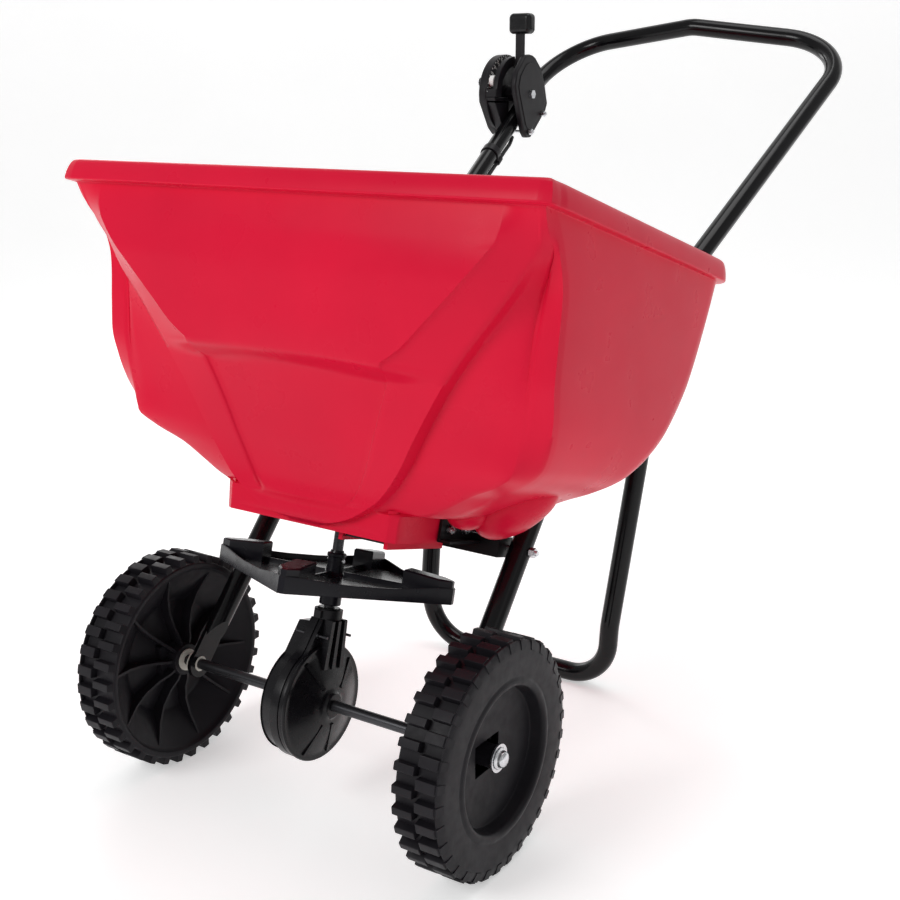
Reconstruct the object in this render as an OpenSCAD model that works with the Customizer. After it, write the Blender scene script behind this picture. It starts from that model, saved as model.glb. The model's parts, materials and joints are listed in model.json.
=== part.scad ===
// Walk-behind garden spreader, standing on its two wheels and its rear stand.
// Millimetres. +X right, +Y back (towards the person pushing), +Z up.
// Origin on the ground, under the middle of the overall box.
// "Level" places are measured from the axle in the hopper's own frame, which leans back by lean.

/* [Wheels] */
// Radius of a wheel over its lugs
wheel_r = 127; // [115:1:135]
// Width of a wheel
wheel_w = 58; // [50:1:62]
// Distance from the middle plane to a wheel's outer face
wheel_out = 250; // [245:1:260]
// Depth of the tread lugs
lug_h = 8; // [4:1:9]
// Lugs in each of the two rows
lug_count = 34; // [24:2:40]
// Radius of the opening in a wheel's outer face
dish_r = 74; // [66:1:80]

/* [Axle and drive] */
// Diameter of the axle
axle_d = 12.7; // [12:0.1:14]
// Diameter of the impeller shaft
shaft_d = 12; // [10:0.5:12.5]
// Teeth on the ring gear
ring_teeth = 40; // [40:1:40]
// Teeth on the pinion
pinion_teeth = 10; // [10:1:10]
// Outer radius of the gear housing
gearcase_r = 66; // [66:1:70]

/* [Frame] */
// Outside diameter of the frame tube
tube_d = 25.4; // [24:0.2:26]
// Wall of the frame tube
tube_wall = 1.5; // [1.2:0.1:2]
// Radius of the handle's two corners
handle_bend = 92; // [80:1:100]
// Radius of the stand's bottom corners
stand_bend = 60; // [50:1:62]

/* [Hopper] */
// Backward lean of the hopper and the impeller shaft, in degrees
lean = 15.5; // [15:0.1:16]
// Wall thickness of the hopper
wall = 4; // [3:0.5:5]
// Height of the rim band
lip_h = 24; // [20:1:28]
// Overhang of the rim band
lip_out = 10; // [8:1:12]
// Radius of each drop hole
drop_r = 7.5; // [6:0.5:7.5]
// Travel of the shut-off slide
slide_travel = 18; // [16:1:20]

/* [Impeller] */
// Distance from the shaft to a corner of the impeller plate
impeller_r = 145; // [130:1:150]
// Height of the impeller's edge
impeller_edge = 18; // [14:1:20]

/* [Rate control] */
// Radius of the dial
dial_r = 61; // [58:1:63]
// Height of the lever's knob above its pivot
lever_h = 106; // [100:1:110]

/* [Hidden] */
$fn = 48;

tube_r = tube_d / 2;
bore_r = tube_r - tube_wall;
axle_r = axle_d / 2;
shaft_r = shaft_d / 2;
fit = 0.08;
lap = 0.2;
skin = 0.03;
pin_in = 42;

// Right-hand centre lines, y from the axle and z from the ground; the left side mirrors them
foot = [178, 0, wheel_r];
knee = [172, 240, 397];
shoulder = [249, 977, 849];
peak = [0, 953, 880];
leg_dir = unit(shoulder - knee);
leg_up = unit(cross(leg_dir, [-1, 0, 0]));
leg_in = unit(cross(flip(leg_dir), leg_up));
rise_dir = unit(knee - foot);
sleeve = 100;
stand_top = [171, 520, 536];
stand_heel = [145, 438, 95];
stand_toe = [138, 444, tube_r];
stand_lug = [184, 526, 572];

// Hopper outline at each level height: half width, front and rear, and the two corner radii
half_at = [[199, 116], [228, 118], [231, 150], [245, 182], [262, 212], [275, 240], [290, 260],
           [318, 271], [377, 284], [440, 291], [532, 297]];
front_at = [[199, -65], [228, -67], [262, -78], [290, -92], [318, -104], [366, -130],
            [380, -143], [532, -176]];
rear_at = [[199, 72], [228, 74], [231, 100], [252, 140], [288, 170], [359, 230], [415, 262],
           [476, 275], [532, 280]];
front_round_at = [[199, 6], [228, 8], [245, 30], [290, 50], [532, 45]];
rear_round_at = [[199, 6], [228, 8], [245, 40], [290, 60], [532, 60]];
prow_at = [[228, 0], [262, 8], [311, 18], [409, 42], [500, 45], [522, 20], [532, 0]];
tube_x_at = [[0, 178], [324, 172], [476, 191]];
tube_v_at = [[0, 0], [324, 159], [560, 379]];
ring_levels = [199, 228, 231, 245, 253, 262, 268, 275, 290, 318, 340, 366, 380, 410, 440, 476, 500,
               522, 532];
floor_w = 199;
rim_w = 532;
groove_reach = 27;
groove_spread = 24;

// Under the floor: slide, guides and the three drop holes, in level places
slide_x = 70;
slide_half = 27;
slide_front = -48;
slide_rear = 58;
slide_top = floor_w - 0.4;
slide_t = 4;
drop_pitch = 17.5;
drop_v = 10;
wire_w = slide_top - slide_t / 2;
beam_front = 78;
beam_rear = 108;
beam_half = 158;
beam_bolt = [174.3, 98.2, 201];
saddle_w = 498;
saddle_v = 321;
saddle_x = 193;

// Drive, in level places
gear_x = -15.4;
gear_tooth_h = 4;
gear_root = 49;
gear_tip = 57;
pinion_low = 49.4;
pinion_tip = 15.2;
case_left = -30;
case_right = 22;
neck_top = 106;
plate_w = 153;
shaft_low = 47;
shaft_top = 228;

// Rate control on the left leg: pivot place, and the x of each layer
pivot = [-235, 813, 779];
dial_outer_x = -266;
dial_inner_x = -250.5;
cover_inner_x = -215.5;
cover_outer_x = -205.5;
lever_x = -245.3;
stop_angle = 67;
slot_r = 46;
slot_sweep = 60;
clamp_screws = [[808, 722], [847, 749]];

// Cable sheath: its lower run, then along the underside of the left leg
cable_r = 3;
cable_low = [[70, 216.3, 271], [70, 240, 264.4], [64, 264, 261], [44, 288, 268], [10, 310, 286],
             [-38, 330, 318], [-90, 348, 360], [-136, 366, 402]];
// Distance up the leg, angle round it from its underside, and gap to it
cable_turn = 34;
cable_run = [[150, cable_turn, 14], [175, cable_turn, 4], [200, cable_turn, 0.8],
             [230, cable_turn, 0], [300, cable_turn, 0], [400, cable_turn, 0],
             [500, cable_turn, 0], [590, cable_turn, 0.5], [612, 34, 0.9], [634, 15, 0.6]];
clip_at = [260, 420, 560];

// Middle of the overall length, which the origin lies under
rear_y = max([for (p = bend_path(knee, shoulder, peak, handle_bend, 24)) p[1]]) + tube_r;
mid_y = (rear_y - wheel_r) / 2;

function unit(v) = v / norm(v);
function flip(p) = [-p[0], p[1], p[2]];
function turn(a, b, c) = acos(unit(b - a) * unit(c - b));
function tangent(a, b, c, r) = r * tan(turn(a, b, c) / 2);
function inward(a, b, c) =
    let (d = unit(b - a), e = unit(c - b)) unit(e - (e * d) * d);
function bend_path(a, b, c, r, n) =
    let (d = unit(b - a), m = inward(a, b, c), s = b - d * tangent(a, b, c, r), o = s + m * r)
    [for (i = [0:n]) let (t = turn(a, b, c) * i / n) o - m * r * cos(t) + d * r * sin(t)];
function axes(o, x, y, z) =
    [[x[0], y[0], z[0], o[0]], [x[1], y[1], z[1], o[1]], [x[2], y[2], z[2], o[2]], [0, 0, 0, 1]];
function along(o, z) =
    let (ref = abs(z[0]) < 0.9 ? [1, 0, 0] : [0, 1, 0], x = unit(cross(ref, z)))
    axes(o, x, cross(z, x), z);
function leg_point(s) = flip(knee + leg_dir * s);
function cable_at(s, a, gap) =
    leg_point(s) + (leg_in * sin(a) - leg_up * cos(a)) * (tube_r + cable_r + 0.35 + gap);

// Puts y from the axle into the model's own frame
module placed() translate([0, -mid_y, 0]) children();

// Level places: x, back, up from the axle, in the leaning frame of the hopper
module raised() translate([0, 0, wheel_r]) rotate([-lean, 0, 0]) children();

module level() placed() raised() children();

// The other way: brings a place measured from the ground under the axle into level places
module to_level() rotate([lean, 0, 0]) translate([0, 0, -wheel_r]) children();

module both_sides() {
    children();
    mirror([1, 0, 0]) children();
}

module rod(a, b, r) multmatrix(along(a, unit(b - a))) cylinder(r = r, h = norm(b - a));

module pipe(a, b, r, bore) {
    d = unit(b - a);
    difference() {
        rod(a, b, r);
        rod(a - d, b + d, bore);
    }
}

module bend(a, b, c, r) {
    d = unit(b - a);
    m = inward(a, b, c);
    centre = b - d * tangent(a, b, c, r) + m * r;
    multmatrix(axes(centre, -m, d, cross(-m, d)))
        rotate_extrude(angle = turn(a, b, c))
            translate([r, 0]) difference() {
                circle(r = tube_r - skin);
                circle(r = bore_r + skin);
            }
}

// Tube through points p, with a bend of radius r[i] at each inner point.
// The straights run on past the ends of each bend by lap, and the bend is thinner by skin.
module bent_pipe(p, r) {
    last = len(p) - 1;
    for (i = [0:last - 1]) {
        d = unit(p[i + 1] - p[i]);
        from = i == 0 ? 0 : tangent(p[i - 1], p[i], p[i + 1], r[i - 1]) - lap;
        to = i == last - 1 ? 0 : tangent(p[i], p[i + 1], p[i + 2], r[i]) - lap;
        pipe(p[i] + d * from, p[i + 1] - d * to, tube_r, bore_r);
    }
    for (i = [1:last - 1]) bend(p[i - 1], p[i], p[i + 1], r[i - 1]);
}

// Bolt along X with a round head, a hexagon nut and a washer under each
module bolt_x(x0, x1, r) {
    rotate([0, 90, 0]) {
        translate([0, 0, x0]) cylinder(r = r, h = x1 - x0);
        translate([0, 0, x0 - r]) cylinder(r = 1.9 * r, h = r);
        translate([0, 0, x1 - 3 * r]) cylinder(r = 1.9 * r, h = 2 * r, $fn = 6);
    }
}

// Frame

// Lies along the lower tube: its own y runs up the tube from the axle
module up_the_rise() translate(foot) rotate([atan2(rise_dir[2], rise_dir[1]), 0, 0]) children();

module main_tube() {
    start = foot + rise_dir * 64;
    joint = knee + leg_dir * sleeve;
    swage_r = bore_r - 0.1;
    neck_r = swage_r - tube_wall;
    difference() {
        union() {
            bent_pipe([start, knee, joint - leg_dir], [70]);
            pipe(joint - leg_dir * 4, joint, tube_r - 0.6, swage_r - 0.7);
            pipe(joint - leg_dir * 3, joint + leg_dir * 55, swage_r, neck_r);
            intersection() {
                rod(foot + rise_dir * 31, start + rise_dir * 2, tube_r - skin);
                up_the_rise() translate([0, 0, -20]) linear_extrude(40)
                    polygon([[-1.5, 30], [1.5, 30], [14, 62], [14, 70], [-16, 70], [-16, 62]]);
            }
            up_the_rise() translate([-2.5, 8, -15]) cube([5, 28, 30]);
            translate(foot - [2.6, 0, 0]) rotate([0, 90, 0]) cylinder(r = 16.5, h = 5.2);
        }
        translate(foot - [10, 0, 0]) rotate([0, 90, 0]) cylinder(r = 9.05, h = 20);
        translate([0, joint[1], joint[2]] + 25 * [0, leg_dir[1], leg_dir[2]])
            rotate([0, 90, 0]) cylinder(r = 3.3, h = 400);
        raised() translate([100, beam_bolt[1], beam_bolt[2]])
            rotate([0, 90, 0]) cylinder(r = 3.3, h = 100);
    }
}

module main_tube_left() color("#16171a") placed() mirror([1, 0, 0]) main_tube();

module main_tube_right() color("#16171a") placed() main_tube();

module handle_tube() {
    start = knee + leg_dir * (sleeve + 0.2);
    bolt_at = knee + leg_dir * (sleeve + 25);
    color("#16171a") placed() difference() {
        bent_pipe([start, shoulder, peak, flip(shoulder), flip(start)],
                  [handle_bend, 60, handle_bend]);
        translate([-400, bolt_at[1], bolt_at[2]]) rotate([0, 90, 0]) cylinder(r = 3.3, h = 800);
        translate([-400, stand_lug[1], stand_lug[2]]) rotate([0, 90, 0])
            cylinder(r = 3.3, h = 800);
        both_sides() raised() translate([saddle_x, 200, saddle_w])
            rotate([-90, 0, 0]) cylinder(r = 3.3, h = 200);
    }
}

module stand_tube() {
    up = unit(stand_top - stand_heel);
    color("#16171a") placed() difference() {
        union() {
            bent_pipe([flip(stand_top), flip(stand_heel), flip(stand_toe), stand_toe, stand_heel,
                       stand_top], [stand_bend, stand_bend, stand_bend, stand_bend]);
            both_sides() {
                intersection() {
                    rod(stand_top - up * 2, stand_top + up * 30, tube_r - skin);
                    translate([0, 600, 0]) rotate([90, 0, 0]) linear_extrude(200)
                        polygon([[150, 500], [200, 500], [200, 580], [181.6, 580], [181.6, 562],
                                 [150, 540]]);
                }
                translate(stand_lug - [2.5, 15, 20]) cube([5, 30, 20]);
                translate(stand_lug - [2.6, 0, 0]) rotate([0, 90, 0]) cylinder(r = 15.5, h = 5.2);
            }
        }
        translate([-400, stand_lug[1], stand_lug[2]]) rotate([0, 90, 0])
            cylinder(r = 3.3, h = 800);
    }
}

module handle_bolts() {
    at = knee + leg_dir * (sleeve + 25);
    color("silver") placed() both_sides() translate([0, at[1], at[2]])
        bolt_x(at[0] - tube_r - 1, at[0] + tube_r + 10.1, 3);
}

module stand_bolts() {
    color("silver") placed() both_sides() translate([0, stand_lug[1], stand_lug[2]])
        bolt_x(stand_lug[0] - 2.8, 224.5, 3);
}

// Folded channel behind the hopper's foot, with an arm along each end of the foot
module hopper_support() {
    t = 3;
    color("#1b1c1f") level() difference() {
        union() {
            translate([-beam_half, beam_front, 190]) cube([2 * beam_half, 30, t]);
            translate([-beam_half, beam_front, 190]) cube([2 * beam_half, t, 22]);
            translate([-beam_half, beam_rear - t, 190]) cube([2 * beam_half, t, 22]);
            both_sides() {
                translate([beam_half - t, beam_front, 190]) cube([t, 30, 22]);
                translate([118.6, 14, 201]) cube([t, 66, 25]);
                translate([118.6, 14, 201]) cube([16, 66, t]);
            }
        }
        translate([-200, beam_bolt[1], beam_bolt[2]]) rotate([0, 90, 0])
            cylinder(r = 3.3, h = 400);
        for (v = [28, 58]) translate([-200, v, 215]) rotate([0, 90, 0])
            cylinder(r = 2.7, h = 400);
        translate([slide_x, 0, wire_w]) rotate([-90, 0, 0]) cylinder(r = 4.6, h = 200);
    }
}

module support_bolts() {
    color("silver") level() both_sides() translate([0, beam_bolt[1], beam_bolt[2]])
        bolt_x(beam_half - 3.3, beam_bolt[0] + tube_r + 9.8, 3);
}

// Moulded block between a handle leg and the hopper's back
module saddle() {
    difference() {
        translate([saddle_x - 10, 278.6, saddle_w - 13]) cube([20, 35.4, 26]);
        to_level() rod(knee, shoulder, tube_r + 0.1);
        translate([saddle_x, 200, saddle_w]) rotate([-90, 0, 0]) cylinder(r = 3.3, h = 200);
    }
}

module saddle_left() color("#1e1f22") level() mirror([1, 0, 0]) saddle();

module saddle_right() color("#1e1f22") level() saddle();

module hopper_bolts() {
    color("silver") level() both_sides() {
        for (v = [28, 58]) translate([0, v, 215]) bolt_x(111.4, 129.8, 2.5);
        translate([saddle_x, 0, saddle_w]) rotate([0, 0, 90]) bolt_x(270.4, 356, 3);
    }
}

// Hopper

function side(p, q, n) = [for (i = [0:n - 1]) p + (q - p) * i / n];
function arc(o, r, a, n) = [for (i = [0:n - 1]) o + r * [cos(a + 90 * i / n), sin(a + 90 * i / n)]];

// Plan outline at level height w, grown by g, before it is shaped to the prow and the frame
function plain_ring(w, g) =
    let (a = lookup(w, half_at) + g, f = lookup(w, front_at) - g, b = lookup(w, rear_at) + g,
         rf = max(2, lookup(w, front_round_at) + g), rb = max(2, lookup(w, rear_round_at) + g))
    concat(side([rf - a, f], [a - rf, f], 8), arc([a - rf, f + rf], rf, -90, 5),
           side([a, f + rf], [a, b - rb], 4), arc([a - rb, b - rb], rb, 0, 5),
           side([a - rb, b], [rb - a, b], 28), arc([rb - a, b - rb], rb, 90, 5),
           side([-a, b - rb], [-a, f + rf], 4), arc([rf - a, f + rf], rf, 180, 5));

// The front corners fall back to a prow, and the back is grooved for the frame's two tubes
function shaped(p, w, g) =
    let (a = lookup(w, half_at), f = lookup(w, front_at), b = lookup(w, rear_at),
         c = (f + b) / 2,
         ahead = max(0, min(1, (c - p[1]) / (c - f))),
         prow = lookup(w, prow_at) * pow(min(1, abs(p[0]) / a), 2) * ahead,
         tube = lookup(w, tube_v_at) - groove_reach + g,
         off = abs(p[0]) - lookup(w, tube_x_at),
         limit = tube + off * off / groove_spread)
    p[1] > c ? [p[0], min(p[1], limit)] : [p[0], p[1] + prow];
function ring(w, g, z) = [for (p = plain_ring(w, g)) concat(shaped(p, w, g), z)];

module hopper_shell() {
    outer = [for (w = ring_levels) ring(w, 0, w)];
    lip = [ring(rim_w, lip_out, rim_w), ring(rim_w, lip_out, rim_w + lip_h)];
    inner = [for (i = [len(ring_levels) - 1:-1:0]) let (w = ring_levels[i])
             ring(w, -wall, i == len(ring_levels) - 1 ? rim_w + lip_h : w + wall)];
    rings = concat(outer, lip, inner);
    n = len(rings[0]);
    count = len(rings);
    last = (count - 1) * n;
    points = concat([for (r = rings) for (p = r) p],
                    [[0, 0, floor_w], [0, 0, floor_w + wall]]);
    walls = [for (k = [0:count - 2]) for (i = [0:n - 1]) let (j = (i + 1) % n)
             each [[k * n + i, (k + 1) * n + i, (k + 1) * n + j], [k * n + i, (k + 1) * n + j,
                                                                   k * n + j]]];
    under = [for (i = [0:n - 1]) [i, (i + 1) % n, count * n]];
    top = [for (i = [0:n - 1]) [last + (i + 1) % n, last + i, count * n + 1]];
    polyhedron(points, concat(walls, under, top));
}

module hopper() {
    color("#c8233a") level() difference() {
        hopper_shell();
        translate([0, 0, floor_w - 1]) cylinder(r = 9.05, h = 10);
        for (i = [-1:1]) translate([slide_x + i * drop_pitch, drop_v, floor_w - 1])
            cylinder(r = drop_r, h = 10);
        for (v = [28, 58]) translate([-200, v, 215]) rotate([0, 90, 0])
            cylinder(r = 2.7, h = 400);
        both_sides() translate([saddle_x, 250, saddle_w]) rotate([-90, 0, 0])
            cylinder(r = 3.3, h = 60);
    }
}

// Guide that holds one edge of the shut-off slide under the floor
module guide_rail() {
    difference() {
        translate([0, slide_front - 4, floor_w - 9]) cube([5, slide_rear - slide_front, 8.9]);
        translate([-1, slide_front - 3.5, slide_top - slide_t - 0.4]) cube([2.4, 120, 6]);
    }
}

module guide_rail_inner() color("#c8233a") level()
    translate([slide_x - slide_half - 1, 0, 0]) mirror([1, 0, 0]) guide_rail();

module guide_rail_outer() color("#c8233a") level()
    translate([slide_x + slide_half - 1, 0, 0]) guide_rail();

module shaft_bushing() {
    color("#d8d4c8") level() difference() {
        union() {
            translate([0, 0, floor_w - 4]) cylinder(r = 9, h = 11.1);
            translate([0, 0, floor_w + wall + 0.1]) cylinder(r = 13, h = 4);
        }
        translate([0, 0, floor_w - 5]) cylinder(r = shaft_r + fit, h = 20);
    }
}

module slide_plate() {
    color("#26272b") level() difference() {
        translate([slide_x - slide_half, slide_front, slide_top - slide_t])
            cube([2 * slide_half, slide_rear - slide_front, slide_t]);
        for (i = [-1:1]) translate([slide_x + i * drop_pitch, drop_v - slide_travel, 0])
            cylinder(r = drop_r, h = 300);
    }
}

module pull_wire() {
    color("silver") level() translate([slide_x, 0, wire_w]) rotate([-90, 0, 0]) {
        translate([0, 0, slide_rear]) cylinder(r = 1.9, h = 4);
        translate([0, 0, slide_rear]) cylinder(r = 1.2, h = 84);
    }
}

module cable_ferrule() {
    color("#26272b") level() translate([slide_x, 0, wire_w]) rotate([-90, 0, 0]) difference() {
        union() {
            translate([0, 0, beam_rear - 8]) cylinder(r = 4.5, h = 69.7);
            translate([0, 0, beam_rear + 0.1]) cylinder(r = 7, h = 5, $fn = 6);
        }
        translate([0, 0, beam_rear - 20]) cylinder(r = 1.5, h = 76);
    }
}

// Round sheath swept along a smooth curve through points p
function catmull(a, b, c, d, t) =
    0.5 * (2 * b + (c - a) * t + (2 * a - 5 * b + 4 * c - d) * t * t
           + (3 * b - a - 3 * c + d) * t * t * t);
function smooth(p, n) = concat(
    [for (i = [0:len(p) - 2]) for (k = [0:n - 1])
     catmull(p[max(0, i - 1)], p[i], p[i + 1], p[min(len(p) - 1, i + 2)], k / n)],
    [p[len(p) - 1]]);

module sheath(p, r) {
    sides = 8;
    n = len(p);
    points = [for (i = [0:n - 1])
              let (d = unit(p[min(n - 1, i + 1)] - p[max(0, i - 1)]), x = unit(cross([1, 0.3, 0], d)),
                   y = cross(d, x))
              for (k = [0:sides - 1]) p[i] + r * (x * cos(k * 45) + y * sin(k * 45))];
    walls = [for (i = [0:n - 2]) for (k = [0:sides - 1]) let (m = (k + 1) % sides)
             each [[i * sides + k, (i + 1) * sides + k, (i + 1) * sides + m],
                   [i * sides + k, (i + 1) * sides + m, i * sides + m]]];
    polyhedron(points, concat(walls, [[for (k = [0:sides - 1]) k]],
                              [[for (k = [sides - 1:-1:0]) (n - 1) * sides + k]]));
}

module control_cable() {
    run = [for (c = cable_run) cable_at(c[0], c[1], c[2])];
    color("#101113") placed() sheath(smooth(concat(cable_low, run), 4), cable_r);
}

module cable_clips() {
    color("#26272b") placed() for (s = clip_at) difference() {
        union() {
            rod(leg_point(s), leg_point(s + 12), tube_r + 2);
            rod(cable_at(s, cable_turn, 0), cable_at(s + 12, cable_turn, 0), cable_r + 2.2);
        }
        rod(leg_point(s - 2), leg_point(s + 14), tube_r + 0.05);
        rod(cable_at(s - 2, cable_turn, 0), cable_at(s + 14, cable_turn, 0), cable_r + 0.6);
    }
}

// Gear housing: two halves that meet on the middle plane, seen along X as a teardrop

module case_outline() {
    circle(r = gearcase_r);
    polygon([[-56, 35], [-16, 92], [16, 92], [56, 35]]);
}

// The inside, cut from both halves
module case_space() {
    rotate([0, 90, 0]) {
        translate([0, 0, case_left + 3]) cylinder(r = gearcase_r - 3.5, h = 30);
        translate([0, 0, 2.9]) cylinder(r1 = gearcase_r - 3.5, r2 = 18, h = 15);
        translate([0, 0, -60]) cylinder(r = axle_r + fit, h = 120);
    }
    translate([0, 0, 30]) cylinder(r = 16.5, h = 34);
    cylinder(r = shaft_r + fit, h = neck_top + 10);
}

module gearcase_left() {
    color("#222327") level() difference() {
        union() {
            rotate([90, 0, 90]) translate([0, 0, case_left + 4])
                linear_extrude(-case_left - 4) case_outline();
            rotate([0, 90, 0]) translate([0, 0, case_left]) cylinder(r = gearcase_r - 1.5, h = 5);
            rotate([0, 90, 0]) translate([0, 0, case_left - 6]) cylinder(r = 14, h = 7);
            intersection() {
                translate([0, 0, 80]) cylinder(r = 13, h = neck_top - 80);
                translate([-30, -30, 60]) cube([30, 60, 60]);
            }
        }
        case_space();
        for (v = [-21, 21]) translate([-50, v, 76]) rotate([0, 90, 0]) cylinder(r = 1.7, h = 100);
    }
}

module gearcase_right() {
    color("#26272b") level() difference() {
        union() {
            rotate([90, 0, 90]) translate([0, 0, 0.2]) linear_extrude(5) case_outline();
            rotate([0, 90, 0]) {
                translate([0, 0, 5]) cylinder(r1 = gearcase_r - 1, r2 = 22, h = case_right - 5);
                translate([0, 0, case_right - 1]) cylinder(r = 14, h = 6);
            }
            rotate([90, 0, 90]) translate([0, 0, 5])
                linear_extrude(14) polygon([[-22, 40], [-15, 92], [15, 92], [22, 40]]);
            intersection() {
                translate([0, 0, 80]) cylinder(r = 13, h = neck_top - 80);
                translate([0.2, -30, 60]) cube([30, 60, 60]);
            }
        }
        case_space();
        for (v = [-21, 21]) translate([-50, v, 76]) rotate([0, 90, 0]) cylinder(r = 1.7, h = 100);
    }
}

module gearcase_screws() {
    color("silver") level() for (v = [-21, 21]) translate([0, v, 76]) rotate([0, 90, 0]) {
        translate([0, 0, -24]) cylinder(r = 1.5, h = 43.2);
        translate([0, 0, 5.3]) cylinder(r = 3, h = 2);
    }
}

module gearcase_collar() {
    color("#1b1c1f") level() difference() {
        union() {
            translate([0, 0, neck_top - 12]) cylinder(r = 16, h = 10);
            translate([-4, -20, neck_top - 11]) cube([8, 40, 8]);
        }
        cylinder(r = 13.05, h = 200);
    }
}

module axle_bearing(x) {
    color("#d8d4c8") level() rotate([0, 90, 0]) difference() {
        union() {
            translate([0, 0, x - 3]) cylinder(r = 9, h = 6);
            translate([0, 0, x + 2.6]) cylinder(r = 14, h = 4);
        }
        translate([0, 0, x - 10]) cylinder(r = axle_r + fit, h = 30);
    }
}

module axle_bearing_left() mirror([1, 0, 0]) axle_bearing(foot[0]);

module axle_bearing_right() axle_bearing(foot[0]);

module axle() {
    color("#2b2c30") level() rotate([0, 90, 0]) difference() {
        translate([0, 0, -242]) cylinder(r = axle_r, h = 484);
        translate([0, 0, gear_x - 8]) rotate([0, 90, 0])
            cylinder(r = 2.05, h = 60, center = true);
        translate([0, 0, wheel_out - pin_in]) rotate([0, 90, 0])
            cylinder(r = 2.55, h = 60, center = true);
    }
}

// Outline with n teeth of width t between radii r0 and r1
function toothed(n, r0, r1, t) = [for (i = [0:n - 1]) for (q = [[r0, -1], [r1, -1], [r1, 1], [r0, 1]])
    let (a = 360 * i / n + q[1] * asin(t / 2 / q[0])) q[0] * [cos(a), sin(a)]];

module ring_gear() {
    color("#c9b48a") level() rotate([0, 90, 0]) difference() {
        union() {
            translate([0, 0, gear_x - 5]) cylinder(r = gear_tip + 0.6, h = 5);
            translate([0, 0, gear_x - 11.4]) cylinder(r = 14, h = 10);
            translate([0, 0, gear_x - 1]) rotate([0, 0, 180 / ring_teeth])
                linear_extrude(gear_tooth_h + 1)
                    polygon(toothed(ring_teeth, gear_root, gear_tip, 2));
        }
        translate([0, 0, -60]) cylinder(r = axle_r + 0.02, h = 120);
        translate([0, 0, gear_x]) cylinder(r = 30, h = 20);
        translate([0, 0, gear_x - 8]) rotate([0, 90, 0])
            cylinder(r = 2.05, h = 60, center = true);
    }
}

module gear_pin() {
    color("silver") level() translate([gear_x - 8, 0, -13.5]) cylinder(r = 2, h = 27);
}

// Wheels

module wheel_profile() {
    polygon([[axle_r + fit, 6], [19, 6], [20, 26], [68, 34], [110, 8], [112, 2],
             [wheel_r - lug_h - 1, 2], [wheel_r - lug_h, 4], [wheel_r - lug_h, wheel_w - 6],
             [wheel_r - lug_h - 4, wheel_w - 2], [dish_r + 8, wheel_w - 1.5], [dish_r, wheel_w - 5],
             [dish_r - 2, wheel_w - 14], [58, wheel_w - 19], [34, wheel_w - 22],
             [19, wheel_w - 21], [17, wheel_w - 12], [axle_r + fit, wheel_w - 12]]);
}

// The wheel's own x runs from its inner face, 0, to its outer face
module wheel() {
    root = wheel_r - lug_h - 0.5;
    lug_t = PI * wheel_r / lug_count;
    difference() {
        union() {
            rotate([0, 90, 0]) rotate_extrude() wheel_profile();
            translate([2.6, 0, 0]) rotate([0, 90, 0]) lug_row(root, lug_t, 0);
            translate([wheel_w / 2 + 1.5, 0, 0]) rotate([0, 90, 0])
                lug_row(root, lug_t, 180 / lug_count);
        }
        rotate([0, 90, 0]) cylinder(r = axle_r + fit, h = 200, center = true);
    }
    for (i = [0:9]) rotate([36 * i, 0, 0]) rib();
}

module lug_row(root, lug_t, phase) {
    difference() {
        rotate([0, 0, phase]) linear_extrude(wheel_w / 2 - 4.2)
            polygon(toothed(lug_count, root, wheel_r, lug_t));
        translate([0, 0, -1]) cylinder(r = root - 4, h = wheel_w);
    }
}

module rib() {
    rotate([90, 0, 0]) translate([0, 0, -2]) linear_extrude(4)
        polygon([[9, 18.5], [27, 18.5], [35, 68], [8.5, 109.5]]);
}

module on_right_hub() level() translate([wheel_out - wheel_w, 0, 0]) children();

module wheel_right() {
    color("#202124") on_right_hub() difference() {
        wheel();
        translate([wheel_w - pin_in, 0, 0]) cylinder(r = 2.55, h = 60, center = true);
    }
}

module drive_pin() {
    color("silver") level() translate([wheel_out - pin_in, 0, -18]) cylinder(r = 2.5, h = 36);
}

module wheel_left() {
    color("#202124") mirror([1, 0, 0]) on_right_hub() difference() {
        wheel();
        rotate([0, 90, 0]) cylinder(r = 9.05, h = 200, center = true);
    }
}

module wheel_bushing() {
    color("#d8d4c8") mirror([1, 0, 0]) on_right_hub() rotate([0, 90, 0]) difference() {
        union() {
            translate([0, 0, 4]) cylinder(r = 9, h = wheel_w - 16);
            translate([0, 0, 3.9]) cylinder(r = 13, h = 2);
        }
        cylinder(r = axle_r + fit, h = 200, center = true);
    }
}

module washer(x) level() translate([x, 0, 0]) rotate([0, 90, 0]) difference() {
    cylinder(r = 15, h = 2);
    translate([0, 0, -1]) cylinder(r = axle_r + 0.02, h = 10);
}

module washer_right() color("silver") washer(wheel_out - 11.7);

module washer_left() color("silver") mirror([1, 0, 0]) washer(wheel_out - 11.7);

module cap_nut() {
    level() translate([wheel_out - 9.4, 0, 0]) rotate([0, 90, 0]) difference() {
        union() {
            cylinder(r = 11, h = 1.5);
            cylinder(r = 8.6, h = 5);
            translate([0, 0, 5]) cylinder(r1 = 8.6, r2 = 5, h = 3);
        }
        translate([0, 0, -1]) cylinder(r = axle_r + 0.02, h = 3);
    }
}

module cap_nut_right() color("silver") cap_nut();

module cap_nut_left() color("silver") mirror([1, 0, 0]) cap_nut();

// Impeller group

module impeller_shaft() {
    color("#2b2c30") level() difference() {
        translate([0, 0, shaft_low]) cylinder(r = shaft_r, h = shaft_top - shaft_low);
        translate([0, 0, plate_w + 6]) rotate([0, 90, 0]) cylinder(r = 2.05, h = 40, center = true);
        translate([0, 0, shaft_top - 8]) rotate([0, 90, 0])
            cylinder(r = 2.55, h = 40, center = true);
    }
}

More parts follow.
